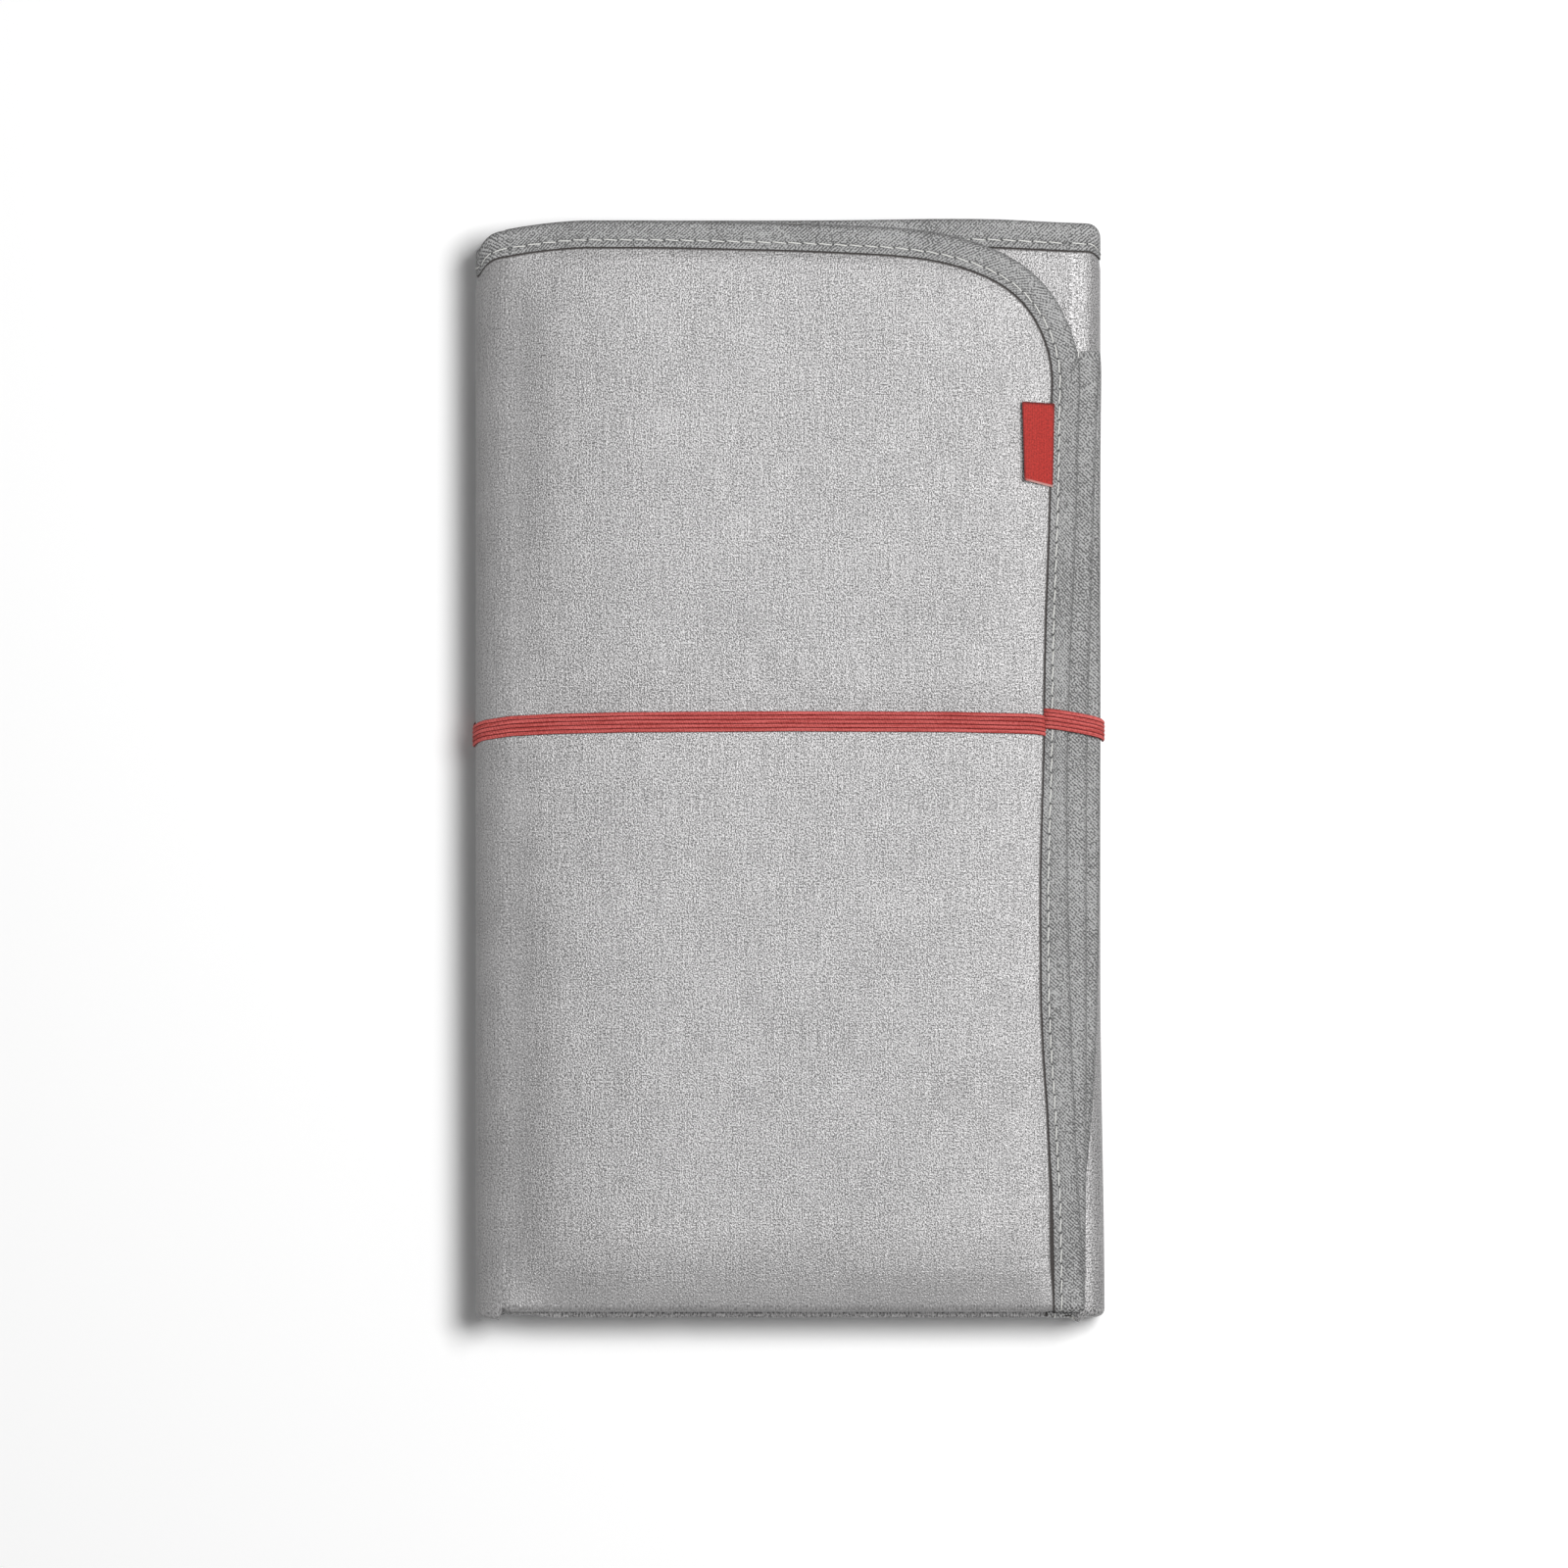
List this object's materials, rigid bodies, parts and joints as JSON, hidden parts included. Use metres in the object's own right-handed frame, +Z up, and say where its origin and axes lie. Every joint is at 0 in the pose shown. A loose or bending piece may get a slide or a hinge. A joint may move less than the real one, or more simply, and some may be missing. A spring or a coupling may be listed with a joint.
{
  "type": "tabletop ironing pad",
  "caption": "Padded tabletop ironing blanket with a silver face and grey bound edge, folded in four and then like a fan into a flat packet, held by a red elastic loop.",
  "frame": {"origin": "middle of the packet's footprint, on the table", "axes": "+Z up out of the front panel's face, +Y to the bound top edge, +X to the side where the plies' bound edges show"},
  "size_m": [0.1922, 0.336, 0.0293],
  "materials": {
    "face_cloth": "silver metallised cotton, fine plain weave with a dull sparkle",
    "wadding": "soft needled padding",
    "backing_cloth": "plain matt woven cotton",
    "binding": "bias-cut grey tape, matt diagonal weave",
    "thread": "off-white sewing thread",
    "elastic": "flat ribbed red elastic",
    "label": "woven red tape, left bare"
  },
  "bodies": {
    "back": {"back_face_cloth": "face_cloth", "back_wadding": "wadding", "back_backing_cloth": "backing_cloth", "back_side_binding": "binding", "right_fold_ply_a_face_cloth": "face_cloth", "right_fold_ply_a_wadding": "wadding", "right_fold_ply_a_backing_cloth": "backing_cloth", "right_fold_ply_a_binding": "binding", "right_fold_ply_b_face_cloth": "face_cloth", "right_fold_ply_b_wadding": "wadding", "right_fold_ply_b_backing_cloth": "backing_cloth", "right_fold_ply_c_face_cloth": "face_cloth", "right_fold_ply_c_wadding": "wadding", "right_fold_ply_c_backing_cloth": "backing_cloth", "right_fold_ply_d_face_cloth": "face_cloth", "right_fold_ply_d_wadding": "wadding", "right_fold_ply_d_backing_cloth": "backing_cloth", "right_fold_ply_d_binding": "binding"},
    "middle": {"middle_face_cloth": "face_cloth", "middle_wadding": "wadding", "middle_backing_cloth": "backing_cloth", "middle_top_binding_a": "binding", "middle_top_binding_d": "binding", "left_fold_ply_a_face_cloth": "face_cloth", "left_fold_ply_a_wadding": "wadding", "left_fold_ply_a_backing_cloth": "backing_cloth", "left_fold_ply_a_binding": "binding", "left_fold_ply_b_face_cloth": "face_cloth", "left_fold_ply_b_wadding": "wadding", "left_fold_ply_b_backing_cloth": "backing_cloth", "left_fold_ply_c_face_cloth": "face_cloth", "left_fold_ply_c_wadding": "wadding", "left_fold_ply_c_backing_cloth": "backing_cloth", "left_fold_ply_d_face_cloth": "face_cloth", "left_fold_ply_d_wadding": "wadding", "left_fold_ply_d_backing_cloth": "backing_cloth", "left_fold_ply_d_binding": "binding"},
    "front": {"front_face_cloth": "face_cloth", "front_wadding": "wadding", "front_backing_cloth": "backing_cloth", "front_side_binding": "binding", "front_stitching": "thread", "side_label": "label", "elastic_loop": "elastic"}
  },
  "joints": [
    {"name": "right_fold", "type": "hinge", "parent": "back", "child": "middle", "pos_m": [0.0856, 0, 0.0094], "axis": [0, 1, 0], "range_deg": [0, 180], "deforming": ["right_fold_ply_a_face_cloth", "right_fold_ply_a_wadding", "right_fold_ply_a_backing_cloth", "right_fold_ply_a_binding", "right_fold_ply_b_face_cloth", "right_fold_ply_b_wadding", "right_fold_ply_b_backing_cloth", "right_fold_ply_c_face_cloth", "right_fold_ply_c_wadding", "right_fold_ply_c_backing_cloth", "right_fold_ply_d_face_cloth", "right_fold_ply_d_wadding", "right_fold_ply_d_backing_cloth", "right_fold_ply_d_binding"]},
    {"name": "left_fold", "type": "hinge", "parent": "middle", "child": "front", "pos_m": [-0.0856, 0, 0.01885], "axis": [0, -1, 0], "range_deg": [0, 180], "deforming": ["elastic_loop", "left_fold_ply_a_face_cloth", "left_fold_ply_a_wadding", "left_fold_ply_a_backing_cloth", "left_fold_ply_a_binding", "left_fold_ply_b_face_cloth", "left_fold_ply_b_wadding", "left_fold_ply_b_backing_cloth", "left_fold_ply_c_face_cloth", "left_fold_ply_c_wadding", "left_fold_ply_c_backing_cloth", "left_fold_ply_d_face_cloth", "left_fold_ply_d_wadding", "left_fold_ply_d_backing_cloth", "left_fold_ply_d_binding"]}
  ],
  "couplings": [
    {"joint": "left_fold", "follows": "right_fold", "ratio": 1}
  ]
}
